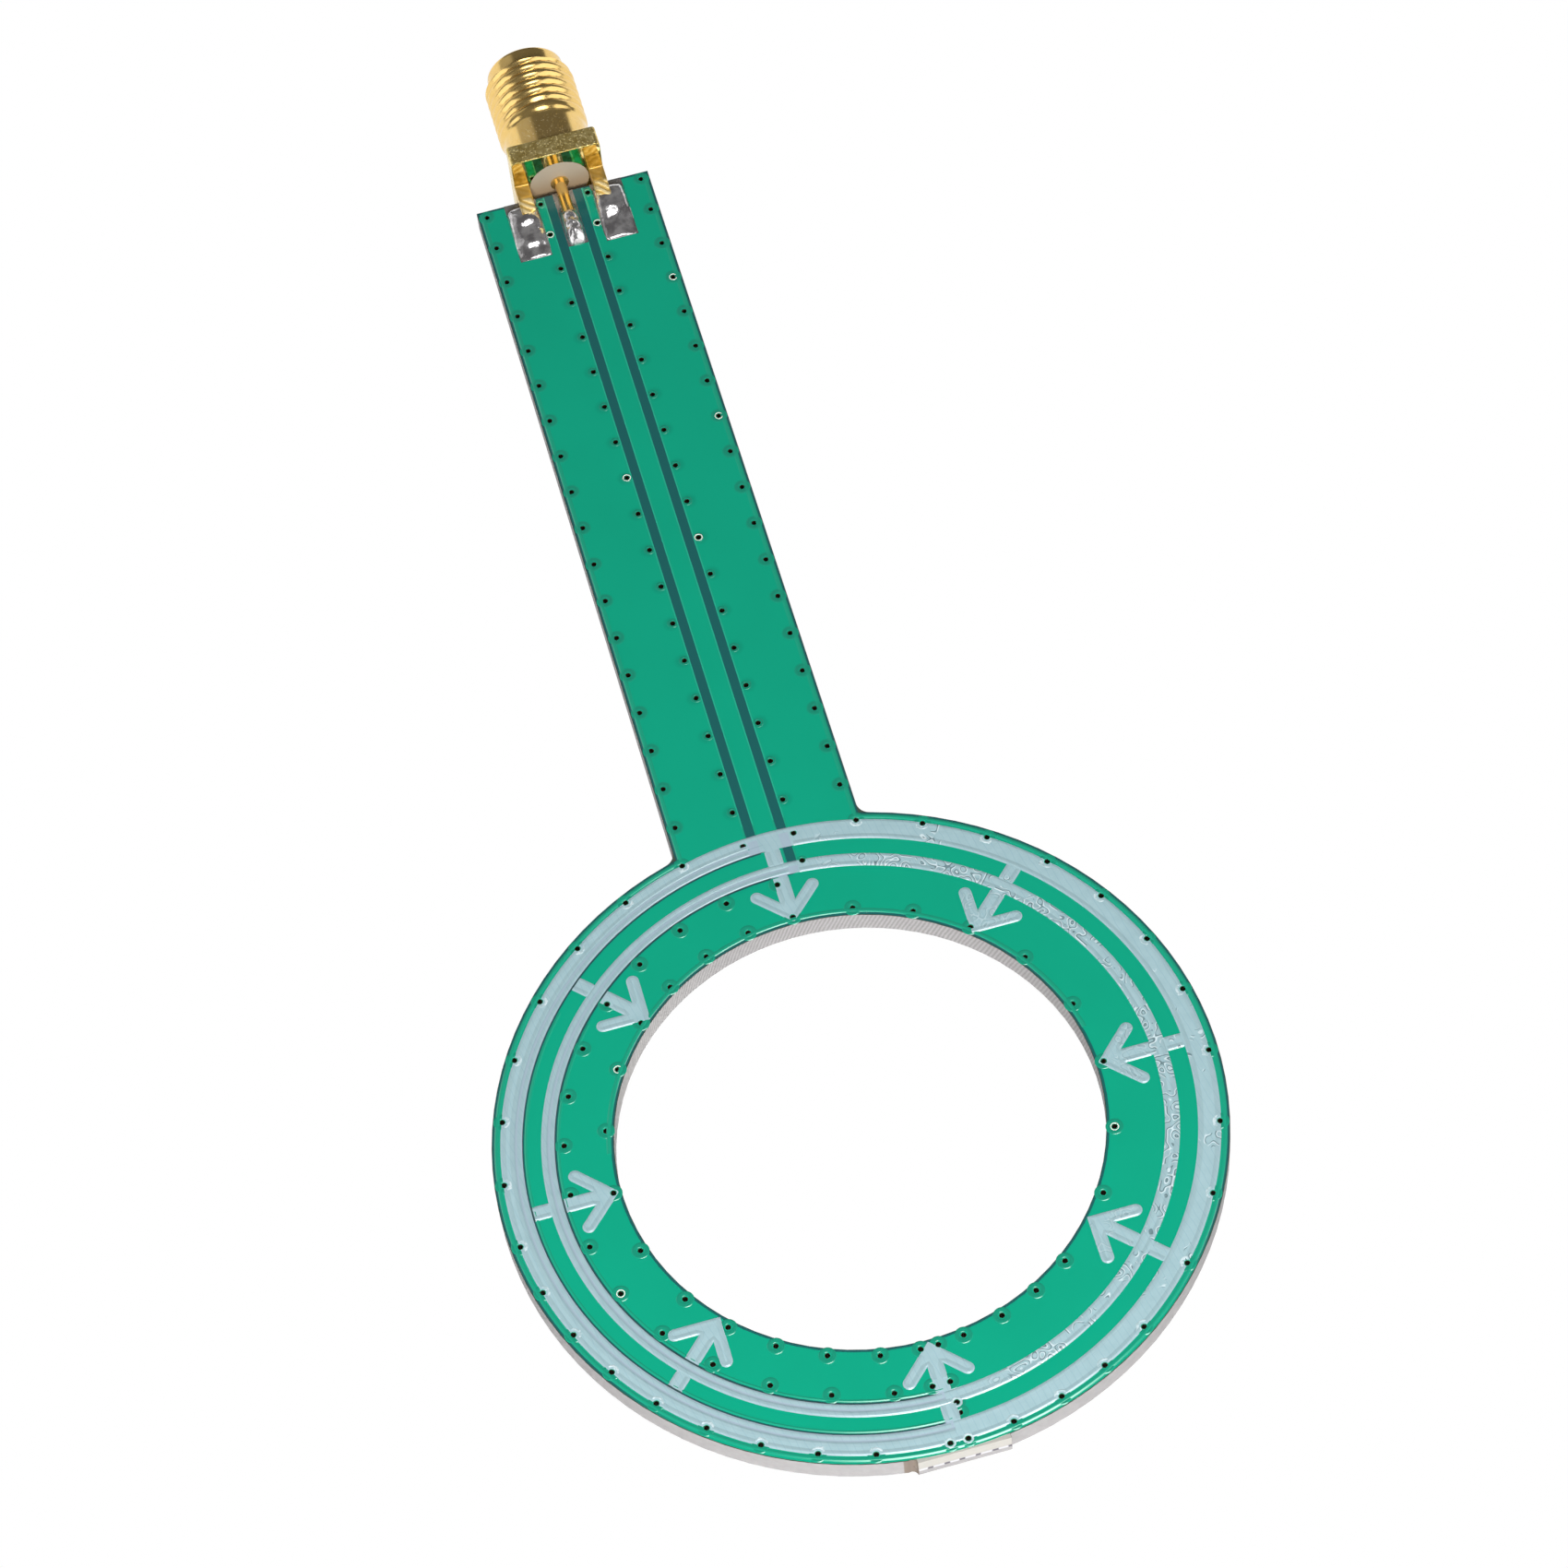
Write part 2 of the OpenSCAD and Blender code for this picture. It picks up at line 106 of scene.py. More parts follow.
def material(name, **fixed):
    """A new material, its shader with the fixed inputs set, and the object's coordinates in millimetres."""
    made = bpy.data.materials.new(name)
    made.use_nodes = True
    tree = made.node_tree
    shader = tree.nodes["Principled BSDF"]
    for key, value in fixed.items():
        shader.inputs[key.replace("_", " ")].default_value = value
    place = Sock(tree, tree.nodes.new("ShaderNodeTexCoord").outputs["Object"])
    place = place.node("ShaderNodeVectorMath", {"operation": "SCALE"}, {0: place, "Scale": 1000.0})
    return made, shader, place


def dress(node, made):
    """Gives a CAD node the material in place of its plain one."""
    nodes[node].data.materials.clear()
    nodes[node].data.materials.append(made)


window, foil_window, foil_rim = 15.0, 15.2, 22.3
stub_half = 3.0
laminate, shader, place = material("laminate", Roughness=0.62, Specular_IOR_Level=0.3)
across, along, up = (place.axis(k) for k in range(3))
from_middle = (across * across + along * along).math("SQRT")
around = along.math("ARCTAN2", across) * window
rib = (around * 24.0 + up * 9.0 + place.noise(1.0) * 3.0).math("SINE") * 0.5 + 0.5
weave = rib * 0.5 + place.noise(6.0, 4.0) * 0.6
inside = 1.0 - from_middle.smooth(foil_window, 16.0)
wall = (weave * inside + (place.noise(2.5, 4.0) * 0.4 + 0.45) * (1.0 - inside)).smooth(0.0, 1.1)
bare = wall.blend((0.21, 0.20, 0.20, 1), (0.375, 0.365, 0.365, 1))
# Painted light: the window's inner wall gets lighter colours towards the left, where light falls on it.
pale = inside * (1.0 - across.smooth(-window, -3.0))
bare = pale.blend(bare, wall.blend((0.26, 0.25, 0.245, 1), (0.54, 0.525, 0.515, 1)))
stub = along.smooth(-22.25, -22.30) * (1.0 - abs(across).smooth(2.98, stub_half))
web = stub * (1.0 - abs(up + 0.05).smooth(0.08, 0.15))
dash = (across * 6.283 + place.noise(1.3) * 4.0).math("SINE").smooth(0.1, 0.6)
# Painted light: the upper part of the snapped-off stub's face is painted lighter than the lower part, as
# light falling on an upward bevel.
torn_edge_and_painted_light = (stub * up.smooth(-0.1, 0.05)).blend(bare, (0.40, 0.385, 0.355, 1))
# The broken web along the stub's middle: a painted highlight broken by dark dashes of painted shade.
torn_edge_and_painted_light = web.blend(torn_edge_and_painted_light, dash.blend((0.52, 0.52, 0.54, 1), (0.11, 0.10, 0.12, 1)))
# The notch at the stub's left end: brown of broken fibre, darkened as painted shade in the recess.
notch = (1.0 - abs(across + 3.12).smooth(0.36, 0.44)) * along.smooth(-22.05, -22.15)
torn_edge_and_painted_light = (notch * 0.8).blend(torn_edge_and_painted_light, (0.16, 0.115, 0.08, 1))
# Painted shade: a dark green line along the top of the milled edge, under the lacquer's overhanging lip.
(up.smooth(0.780, 0.797) * (1.0 - stub)).blend(torn_edge_and_painted_light, (0.045, 0.065, 0.05, 1)).into(shader, "Base Color")
weave.bump(0.00001, 0.4).into(shader, "Normal")
dress("board", laminate)


# Foil, ground plane and vias
# Copper foil on both faces, tinned where the mask leaves it bare, joined through the board by
# plated holes in fences along the edges and beside the trace.
tinned, shader, place = material("tinned_copper", Metallic=0.75)
dull = place.noise(3.0, 4.0)
dull.blend((0.30, 0.29, 0.29, 1), (0.48, 0.47, 0.46, 1)).into(shader, "Base Color")
(dull * 0.2 + 0.14).into(shader, "Roughness")
dress("top_copper", tinned)
dress("bottom_copper", tinned)

barrel_copper, shader, place = material("barrel_copper", Metallic=1.0)
# Painted shade: the plated hole walls darken to near black towards the bottom of each hole.
depth = place.axis(2).smooth(-0.6, 0.8)
depth.blend((0.02, 0.012, 0.006, 1), (0.16, 0.10, 0.04, 1)).into(shader, "Base Color")
(place.noise(6.0) * 0.2 + 0.4).into(shader, "Roughness")
dress("via_plating", barrel_copper)


# Solder mask
# A glossy green lacquer poured over both faces. It lies high on the foil, sinks dark into the gaps
# of bare laminate, rounds off over the foil's edges and swells around every via.
mask_dip, mask_top = 0.845, 0.86
via_pitch = 3.0


def lacquer(name, thick, gloss):
    """The green lacquer. It is dark in the gaps, and darker by the thick share where it is heaped up. Its
    dark edge at the front of the outer rim is painted green as painted light, and pale green lines along the
    handle's gap edges are painted highlights.
    """
    made, shader, place = material(name, Roughness=0.15, Specular_IOR_Level=0.8, IOR=gloss)
    across, along, height = (place.axis(k) for k in range(3))
    from_middle = (across * across + along * along).math("SQRT")
    # Painted light: at the front of the outer rim, the dark edge of lacquer over bare board is painted green
    # as if it caught light there.
    rim = from_middle.smooth(22.1, 22.2) * (1.0 - along.smooth(-18.0, -12.0))
    underside = 1.0 - height.smooth(-0.1, 0.0)
    on_foil = height.smooth(mask_dip + 0.001, mask_top - 0.002)
    on_foil = on_foil.math("MAXIMUM", underside).math("MAXIMUM", rim)
    green = place.noise(0.12, 3.0).blend((0.0002, 0.320, 0.190, 1), (0.0006, 0.366, 0.221, 1))
    heaped = height.smooth(mask_top + 0.001, mask_top + 0.012) * thick
    green = heaped.blend(green, (0.0004, 0.170, 0.110, 1))
    handle = height.smooth(0.0, 0.1) * along.smooth(22.6, 22.9)
    row = along.math("WRAP", via_pitch / 2, -via_pitch / 2)
    for column in (1.75, 5.4):
        beside = abs(across) - column
        halo = 1.0 - (beside * beside + row * row).math("SQRT").smooth(0.30, 0.66)
        green = (halo * handle * 0.40).blend(green, (0.0004, 0.215, 0.135, 1))
    # Painted highlight: pale green lines along the foil edges of the handle's gaps.
    for edge in (0.655, 1.345):
        painted_edge_highlight = 1.0 - abs(abs(across) - edge).smooth(0.02, 0.05)
        green = (painted_edge_highlight * handle * 0.8).blend(green, (0.012, 0.47, 0.30, 1))
    on_foil.blend((0.009, 0.108, 0.105, 1), green).into(shader, "Base Color")
    place.noise(9.0, 3.0).bump(0.0000015, 0.5).into(shader, "Normal")
    return made


mask = lacquer("solder_mask", 0.0, 1.5)
dress("top_mask", mask)
dress("bottom_mask", mask)


def surface(name, grids, made):
    """A piece skinned with quads over each grid of points (row, column, xyz in millimetres).
    Rows and columns that meet are welded, so a grid that ends where it starts is a closed tube."""
    points, quads, start = [], [], 0
    for grid in grids:
        rows, columns = grid.shape[:2]
        index = start + np.arange(rows * columns).reshape(rows, columns)
        corners = (index[:-1, :-1], index[1:, :-1], index[1:, 1:], index[:-1, 1:])
        quads.append(np.stack(corners, -1).reshape(-1, 4))
        points.append(grid.reshape(-1, 3))
        start += rows * columns
    mesh = bpy.data.meshes.new(name)
    mesh.from_pydata((np.concatenate(points) * 0.001).tolist(), [], np.concatenate(quads).tolist())
    skin = bmesh.new()
    skin.from_mesh(mesh)
    bmesh.ops.remove_doubles(skin, verts=skin.verts, dist=1e-7)
    bmesh.ops.recalc_face_normals(skin, faces=skin.faces)
    skin.to_mesh(mesh)
    skin.free()
    mesh.polygons.foreach_set("use_smooth", np.ones(len(mesh.polygons), bool))
    mesh.set_sharp_from_angle(angle=np.radians(38))
    mesh.materials.append(made)
    piece = bpy.data.objects.new(name, mesh)
    bpy.context.scene.collection.objects.link(piece)
    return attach(piece, "root")


def run(radius, first, last, count):
    """Points spread evenly over an arc round the loop."""
    angle = np.radians(np.linspace(first, last, count))
    return np.stack((radius * np.cos(angle), radius * np.sin(angle)), -1)


edge_x, fence_x, pair_x, short_y = 5.4, 1.65, 0.55, -19.45
edge_row, window_row, gap_row = 21.9, 15.5, 18.05
via_rows = np.append(np.arange(24.0, 73.0, via_pitch), 74.7)
via_columns = np.array((-edge_x, -fence_x, fence_x, edge_x))
via_runs = (
    (edge_row, 105, 185, 8), (edge_row, 194, 257, 8), (edge_row, 75, 9, 7), (edge_row, -3, -55, 5),
    (edge_row, -64, -81, 3), (window_row, 0, 33, 3), (window_row, 48, 90, 4), (window_row, 101, 135, 4),
    (window_row, 148, 212, 5), (window_row, 224, 259, 4), (window_row, 278, 307, 4),
    (window_row, 326, 343, 2), (gap_row, 91, 178, 9), (gap_row, 190, 261, 7),
)
vias = np.concatenate((
    np.stack(np.meshgrid(via_columns, via_rows), -1).reshape(-1, 2),
    *(run(*stretch) for stretch in via_runs),
    [(side * pair_x, -radius) for side in (-1, 1) for radius in (edge_row, window_row, gap_row)],
    [(pair_x, short_y), (pair_x, -20.15), (-fence_x, 21.4), (fence_x, 21.4), (fence_x, 19.3)],
))


def rings(centres, profile, columns=25):
    """One closed ring per centre: a profile of (radius, height) turned about each centre."""
    turn = np.linspace(0.0, 2 * np.pi, columns)
    radius, height = np.array(profile).T
    flat = radius[:, None, None] * np.stack((np.cos(turn), np.sin(turn)), -1)
    rise = np.broadcast_to(height[:, None, None], (*flat.shape[:2], 1))
    return [np.concatenate((flat + centre, rise), -1) for centre in centres]


def nearest(spots):
    """For each spot, the via that is closest to it."""
    return vias[np.argmin(np.linalg.norm(vias[:, None] - np.array(spots), axis=-1), axis=0)]


def sweep(path, outward, profile):
    """A profile of (offset, height) carried along a path, offset along the path's outward directions.
    Each end is drawn together to the middle of the profile, which closes it."""
    offset, height = np.array(profile).T
    flat = path + offset[:, None, None] * outward
    rise = np.broadcast_to(height[:, None, None], (*flat.shape[:2], 1))
    grid = np.concatenate((flat, rise), -1)
    ends = np.broadcast_to(grid[:-1, [0, -1]].mean(axis=0), (len(grid), 2, 3))
    return np.concatenate((ends[:, :1], grid, ends[:, 1:]), axis=1)


def arc(radius, first, last, side=1.0):
    """A sweep's path round the loop and its outward directions, away from the centre for side 1."""
    angle = np.radians(np.linspace(first, last, int(abs(last - first) / 0.3) + 2))
    way = np.stack((np.cos(angle), np.sin(angle)), -1)
    return radius * way, side * way


def clear(path, outward, profile, room=0.27):
    """Sweeps along the stretches of the path that keep clear of every via."""
    gap = np.linalg.norm(path[:, None] - vias, axis=-1).min(axis=1)
    cuts = np.flatnonzero(np.diff((gap > room).astype(int))) + 1
    runs = np.split(np.arange(len(path)), cuts)
    return [sweep(path[k], outward[k], profile) for k in runs if len(k) > 2 and gap[k[1]] > room]


def line(start, end, outward, count=400):
    """A straight path from start to end in even steps, with the same outward direction all along."""
    start, end = np.array(start), np.array(end)
    share = np.linspace(0.0, 1.0, count)[:, None]
    return start + share * (end - start), np.broadcast_to(outward, (count, 2))


handle_foot = 23.0
in_fence = (np.abs(np.abs(vias[:, 0]) - fence_x) < 0.01) & (vias[:, 1] > 19)
on_handle = (vias[:, 1] > handle_foot) & ~in_fence
ring_swell = [(0.56, 0.856), (0.535, 0.8650), (0.51, 0.8730), (0.48, 0.8775), (0.44, 0.8788),
              (0.38, 0.8785), (0.32, 0.8760), (0.27, 0.8700), (0.23, 0.8620), (0.20, 0.852),
              (0.178, 0.80), (0.19, 0.80), (0.30, 0.842), (0.56, 0.856)]
handle_swell = [(0.55, 0.856), (0.53, 0.8615), (0.48, 0.8660), (0.42, 0.8690), (0.34, 0.8700),
                (0.28, 0.8680), (0.23, 0.8620), (0.20, 0.852), (0.178, 0.80), (0.19, 0.80),
                (0.30, 0.842), (0.55, 0.856)]
fence_swell = [(0.345, 0.856), (0.34, 0.862), (0.32, 0.870), (0.28, 0.874), (0.23, 0.866),
               (0.19, 0.852), (0.172, 0.80), (0.19, 0.80), (0.30, 0.842), (0.345, 0.856)]
swells = rings(vias[~in_fence & ~on_handle], ring_swell)
swells += rings(vias[on_handle], handle_swell) + rings(vias[in_fence], fence_swell)
surface("via_swells", swells, lacquer("heaped_mask", 0.35, 1.8))

bare_vias = nearest([(edge_x, 66), (edge_x, 54), (-fence_x, 51), (fence_x, 45), (-fence_x, 72), (fence_x, 72),
                     (-13.15, 8.2), (-16.75, -6.7), (14.8, -4.5), (pair_x, short_y), (pair_x, -edge_row)])
bare_ring = [(0.275, 0.858), (0.272, 0.872), (0.258, 0.880), (0.238, 0.882), (0.215, 0.872), (0.20, 0.80),
             (0.22, 0.80), (0.275, 0.858)]
# The tinned rims get a near-white, barely metallic colour: tin, brightened into a painted highlight.
bright, shader, place = material("bare_rim", Metallic=0.2, Roughness=0.3)
place.noise(5.0).blend((0.90, 0.88, 0.78, 1), (1.0, 0.99, 0.93, 1)).into(shader, "Base Color")
surface("via_rims", rings(bare_vias, bare_ring), bright)

edge_lip = [(-0.26, 0.8602), (-0.21, 0.8745), (-0.17, 0.8830), (-0.13, 0.8870), (-0.09, 0.8860),
            (-0.05, 0.8790), (-0.01, 0.8665), (0.03, 0.8515), (0.07, 0.8365), (0.11, 0.8210), (0.14, 0.8090),
            (0.14, 0.8050), (-0.10, 0.8400), (-0.26, 0.8602)]
window_lip = [(-0.26, 0.8602), (-0.21, 0.8745), (-0.17, 0.8830), (-0.13, 0.8870), (-0.09, 0.8860),
              (-0.05, 0.8820), (-0.01, 0.8740), (0.03, 0.8590), (0.06, 0.8330), (0.08, 0.8090),
              (0.08, 0.8050), (-0.10, 0.8400), (-0.26, 0.8602)]
gap_lip = [(-0.20, 0.8602), (-0.17, 0.8730), (-0.14, 0.8810), (-0.115, 0.8830), (-0.09, 0.8800),
           (-0.06, 0.8720), (-0.03, 0.8615), (0.0, 0.8500), (0.0, 0.8300), (-0.10, 0.8400), (-0.20, 0.8602)]
thin_lip = [(-0.12, 0.8602), (-0.09, 0.8660), (-0.06, 0.8680), (-0.03, 0.8650), (0.0, 0.8540), (0.0, 0.8300),
            (-0.06, 0.8400), (-0.12, 0.8602)]
foil_side, foil_end = 5.8, 75.05
trace_half, gap_far, pad_start, gap_end = 0.7, 1.3, 70.5, 75.2
foot = float(np.sqrt(foil_rim ** 2 - foil_side ** 2))
corner = np.degrees(np.arctan2(foot, foil_side))
lips = clear(*arc(foil_rim, corner, -180 - corner), edge_lip)
lips += clear(*arc(foil_window, 10, 170, -1.0), window_lip)
for side in (1, -1):
    lips += clear(*line((side * foil_side, foot), (side * foil_side, foil_end), (side, 0)), edge_lip)
for gap_edge in (18.5, 20.5):
    lips += clear(*arc(gap_edge, 140, 270), gap_lip)
for x, start, end, outward in ((-gap_far, 21.0, gap_end, 1), (-trace_half, 20.55, pad_start, -1),
                               (trace_half, 19.2, pad_start, 1), (gap_far, 19.2, gap_end, -1)):
    lips += clear(*line((x, start), (x, end), (outward, 0)), thin_lip)
surface("mask_lips", lips, lacquer("mask_edge", 0.0, 1.9))


# Legend
# Pale blue-white ink, screen-printed on the mask: two bands and the arrows. It sags into the gaps
# under it, and each via keeps a small circle free of it.
inner_step, outer_step = 19.1, 21.1


def printed(name, gloss):
    """The pale ink. It is greyer where it sags into a gap and streaked by the squeegee. On the left it
    carries lines of painted shade along the foil steps under it and dark painted shade along its inner edges.
    Patches of the right half carry wrinkles painted along the level lines of a noise: dark lines of painted
    shade, each with a painted highlight beside it."""
    made, shader, place = material(name, Roughness=0.17, Specular_IOR_Level=0.9, IOR=gloss)
    across, along, height = (place.axis(k) for k in range(3))
    from_middle = (across * across + along * along).math("SQRT")
    low = 1.0 - height.smooth(0.862, 0.872)
    streak = (across * 15.0 + along * 3.0 + place.noise(0.7) * 5.0).math("SINE").smooth(0.9, 1.0)
    tone = (place.noise(1.2, 4.0) * 0.9 + 0.1).smooth(0.25, 0.85)
    shade = tone.blend((0.330, 0.490, 0.530, 1), (0.375, 0.540, 0.580, 1))
    shade = (streak * 0.55).blend(shade, (0.27, 0.43, 0.50, 1))
    shade = low.blend(shade, (0.360, 0.455, 0.545, 1))
    around = along.math("ARCTAN2", across) * 19.0
    polar = place.node("ShaderNodeCombineXYZ", {}, {0: around, 1: from_middle})
    level = polar.noise(1.5, 0.0) * 30.0
    inner = 1.0 - from_middle.smooth(19.6, 19.9)
    rough = place.noise(0.9).smooth(0.44, 0.49) * inner
    rough = rough + place.noise(0.6).smooth(0.62, 0.66) * (1.0 - inner)
    patch = rough * across.smooth(1.0, 6.0) * (from_middle.smooth(18.2, 18.6) * 0.7 + 0.3)
    # Painted wrinkles: dark lines of painted shade with painted highlights (the glint) beside them.
    painted_wrinkle_shade = patch * level.math("SINE").smooth(0.62, 0.86)
    glint = patch * (level - 1.5).math("SINE").smooth(0.62, 0.86)
    shade = (glint * 0.9).blend(shade, (0.66, 0.78, 0.81, 1))
    shade = (painted_wrinkle_shade * 0.85).blend(shade, (0.12, 0.20, 0.22, 1))
    left = 1.0 - across.smooth(-0.7, -0.3)
    # Painted shade: a darker line along each foil step under the ink on the left.
    for radius in (inner_step, outer_step):
        step = 1.0 - abs(from_middle - radius).smooth(0.02, 0.05)
        shade = (step * left * 0.3).blend(shade, (0.17, 0.26, 0.29, 1))
    # Painted shade: dark lines along the bands' inner edges on the left, where the ink's steep slope is
    # unlit.
    for radius in (18.58, 20.56):
        painted_inner_edge_shade = 1.0 - abs(from_middle - radius).smooth(0.04, 0.08)
        shade = (painted_inner_edge_shade * left).blend(shade, (0.03, 0.07, 0.07, 1))
    shade.into(shader, "Base Color")
    place.noise(12.0, 3.0).bump(0.000004, 0.5).into(shader, "Normal")
    return made


dress("legend", printed("legend_ink", 1.5))

ink_lip = [(0.03, 0.8590), (0.0, 0.8695), (-0.035, 0.8825), (-0.07, 0.8930), (-0.10, 0.8970), (-0.14, 0.8975),
           (-0.20, 0.8930), (-0.26, 0.8870), (-0.32, 0.8802), (-0.20, 0.8650), (0.03, 0.8590)]
sunk_lip = [(offset - 0.05, height - 0.015) for offset, height in ink_lip]
step_lip = [(-0.12, 0.8652), (-0.03, 0.8660), (0.0, 0.8700), (0.03, 0.8815), (0.05, 0.8885), (0.08, 0.8910),
            (0.13, 0.8900), (0.20, 0.8860), (0.28, 0.8802), (0.20, 0.8620), (-0.12, 0.8600), (-0.12, 0.8652)]
bands = []
for inner_edge, outer_edge, step_edge, gap_start in ((20.58, 21.93, outer_step, 94),
                                                     (18.58, 19.43, inner_step, 88)):
    bands += clear(*arc(outer_edge, 0, 360), ink_lip)
    bands += clear(*arc(inner_edge, gap_start, 269.5, -1.0), sunk_lip)
    bands += clear(*arc(inner_edge, 86, -90, -1.0), ink_lip)
    bands += clear(*arc(step_edge, gap_start, 270), step_lip)

shaft, arm, arm_length, point, angle = 0.47, 0.375, 3.3, 15.15, np.radians(45)
slant = np.array((np.sin(angle), np.cos(angle)))
beside = np.array((slant[1], -slant[0]))
fork = np.array((0.0, point + arm / np.sin(angle)))
round_end = np.linspace(0.0, np.pi, 9)[:, None]
arm_end = fork - slant * arm / np.tan(angle) + slant * (arm_length - arm)
tip = fork - np.array((0.0, arm / np.sin(angle)))
crotch = fork + np.array((shaft, shaft / np.tan(angle) + arm / np.sin(angle)))
cap = arm_end + arm * (beside * np.cos(round_end) + slant * np.sin(round_end))
outline = np.concatenate(([tip], cap, [crotch], [(shaft, 18.4)]))
share = np.linspace(0, 1, 13)[:-1, None]
edges = [first + share * (last - first) for first, last in zip(outline[:-1], outline[1:])]
half = np.concatenate(edges + [outline[-1:]])
ahead = np.gradient(half, axis=0)
half_outward = np.stack((ahead[:, 1], -ahead[:, 0]), -1) / np.linalg.norm(ahead, axis=1)[:, None]
strokes = []
for turned, shift in ((0, 0), (45, 0.5), (90, 0), (135, 1.05), (180, 0), (225, -1.05), (270, 0), (315, -0.5)):
    spin = np.radians(turned)
    spin = np.array(((np.cos(spin), np.sin(spin)), (-np.sin(spin), np.cos(spin))))
    for side in (1, -1):
        flip = np.array((side, 1))
        strokes += clear((half * flip + (shift, 0)) @ spin, half_outward * flip @ spin, ink_lip)
        bar, away = line((side * shaft, 19.5), (side * shaft, 20.5), (side, 0), 9)
        strokes.append(sweep((bar + (shift, 0)) @ spin, away @ spin, ink_lip))
surface("legend_lips", bands + strokes, printed("ink_edge", 1.9))

on_ink = nearest([(pair_x, short_y), (pair_x, -edge_row), (-pair_x, -edge_row)])
collar = [(0.34, 0.878), (0.33, 0.886), (0.30, 0.892), (0.26, 0.893), (0.21, 0.884), (0.185, 0.80),
          (0.21, 0.80), (0.34, 0.878)]
edge_vias = vias[(np.abs(np.linalg.norm(vias, axis=1) - edge_row) < 0.01) & (np.abs(vias[:, 0]) > 1)]
inward = -edge_vias / np.linalg.norm(edge_vias, axis=1)[:, None]
chance = np.random.default_rng(5)
sideways = np.stack((-inward[:, 1], inward[:, 0]), -1)
spots = [edge_vias + inward * chance.uniform(0.26, 0.42, (len(inward), 1))
         + sideways * chance.uniform(-0.3, 0.3, (len(inward), 1)) for _ in range(2)]
ridge = [(-0.07, 0.8797), (-0.04, 0.8900), (0.0, 0.8945), (0.04, 0.8900), (0.07, 0.8797), (0.0, 0.8700),
         (-0.07, 0.8797)]
ridge_reach = 0.40
bend = np.radians(np.linspace(-70.0, 70.0, 15))[:, None, None]
fan = np.cos(bend) * inward + np.sin(bend) * sideways
ridges = [sweep(via + ridge_reach * fan[:, k], fan[:, k], ridge) for k, via in enumerate(edge_vias)]
drop = [(0.085, 0.878), (0.08, 0.885), (0.06, 0.890), (0.03, 0.892), (0.0, 0.893), (0.0, 0.87),
        (0.085, 0.878)]
white_ink, shader, place = material("thick_ink", Roughness=0.3)
clot = place.noise(4.0).smooth(0.4, 0.6)
clot.blend((0.36, 0.49, 0.52, 1), (0.56, 0.67, 0.70, 1)).into(shader, "Base Color")
blobs = rings(on_ink, collar) + rings(np.concatenate(spots), drop, 11) + ridges
surface("ink_blobs", blobs, white_ink)


# Jack
# An edge-mount coaxial jack turned and milled from one brass bar and gold-plated: a square flange
# with four legs that clamp the board, a plain shank, a threaded barrel and a lip around the bore.
gold, shader, place = material("gold_plate", Metallic=0.92)
wear = place.noise(2.2, 5.0)
on_shank = place.axis(1).smooth(77.4, 77.6) * (1.0 - place.axis(1).smooth(79.3, 79.7))
# Bright dots on the shank: real scratches, coloured as painted glints.
scratch_and_painted_glint = place.noise(13.0, 2.0).smooth(0.67, 0.71) * on_shank
plated = wear.blend((0.87, 0.57, 0.17, 1), (0.95, 0.68, 0.27, 1))
scratch_and_painted_glint.blend(plated, (1.0, 0.90, 0.62, 1)).into(shader, "Base Color")
(wear * 0.08 + 0.15).into(shader, "Roughness")
(place.noise(7.0, 2.0) * 0.25 + scratch_and_painted_glint * 5.0).bump(0.000006, 0.5).into(shader, "Normal")
dress("jack_contact", gold)

axis_z = 1.235
turn = np.linspace(0.0, 2 * np.pi, 193)


def revolve(along, radius):
    """Points at the given distances along the jack's axis and radii, turned about it.
    The radius may vary with the turn, which starts at the top and goes to the right."""
    radius = np.broadcast_to(radius, (len(along), len(turn)))
    y = np.broadcast_to(np.array(along)[:, None], radius.shape)
    return np.stack((radius * np.sin(turn), y, axis_z + radius * np.cos(turn)), -1)


pitch, thread_r, bore_r = 0.7056, 3.1, 2.05
along = np.concatenate(([77.0, 78.5, 79.6], np.arange(79.65, 85.0, 0.028),
                        [85.05, 85.6, 85.73, 85.81, 85.85]))
envelope = np.interp(along, [79.7, 79.8, 79.95, 80.15, 80.3, 80.4, 84.5, 84.9, 85.73, 85.81, 85.85],
                     [2.9, 2.91, 2.955, 3.045, 3.09, thread_r, thread_r, 2.65, 2.65, 2.60, 2.53])
phase = (along[:, None] - 80.42) / pitch - turn / (2 * np.pi)
from_crest = np.abs((phase + 0.5) % 1.0 - 0.5)
groove = 0.19 * (1.0 - np.cos(np.pi * from_crest))
run_in = np.interp(along, [80.0, 81.0], [0.0, 1.0])[:, None]
outside = revolve(along, np.minimum(envelope[:, None], thread_r - groove * run_in))
inside = revolve([85.85, 85.79, 84.0, 83.95, 83.95, 77.0, 77.0],
                 np.array([2.36, 2.3, 2.3, 2.28, bore_r, bore_r, 2.9])[:, None])
barrel = surface("jack_barrel", [np.concatenate((outside, inside))], gold)


def rounded_loop(width, depth, radius, steps=6, side=9):
    """A rectangle about the origin with round corners, as one closed row of points."""
    quarter = np.linspace(0.0, np.pi / 2, steps)
    bend = radius * np.stack((np.cos(quarter), np.sin(quarter)), -1)
    middle = np.array((width / 2 - radius, depth / 2 - radius))
    flip = np.array(((1, 1), (-1, 1), (-1, -1), (1, -1)))
    bends = [flip[k] * (middle + (bend if k % 2 == 0 else bend[::-1])) for k in range(4)]
    share = np.linspace(0.0, 1.0, side)[1:-1, None]
    sides = [bends[k][-1] + share * (bends[(k + 1) % 4][0] - bends[k][-1]) for k in range(4)]
    loop = np.concatenate([np.concatenate((bends[k], sides[k])) for k in range(4)])
    return np.concatenate((loop, loop[:1]))


flange_side, flange_corner = 6.2, 0.25


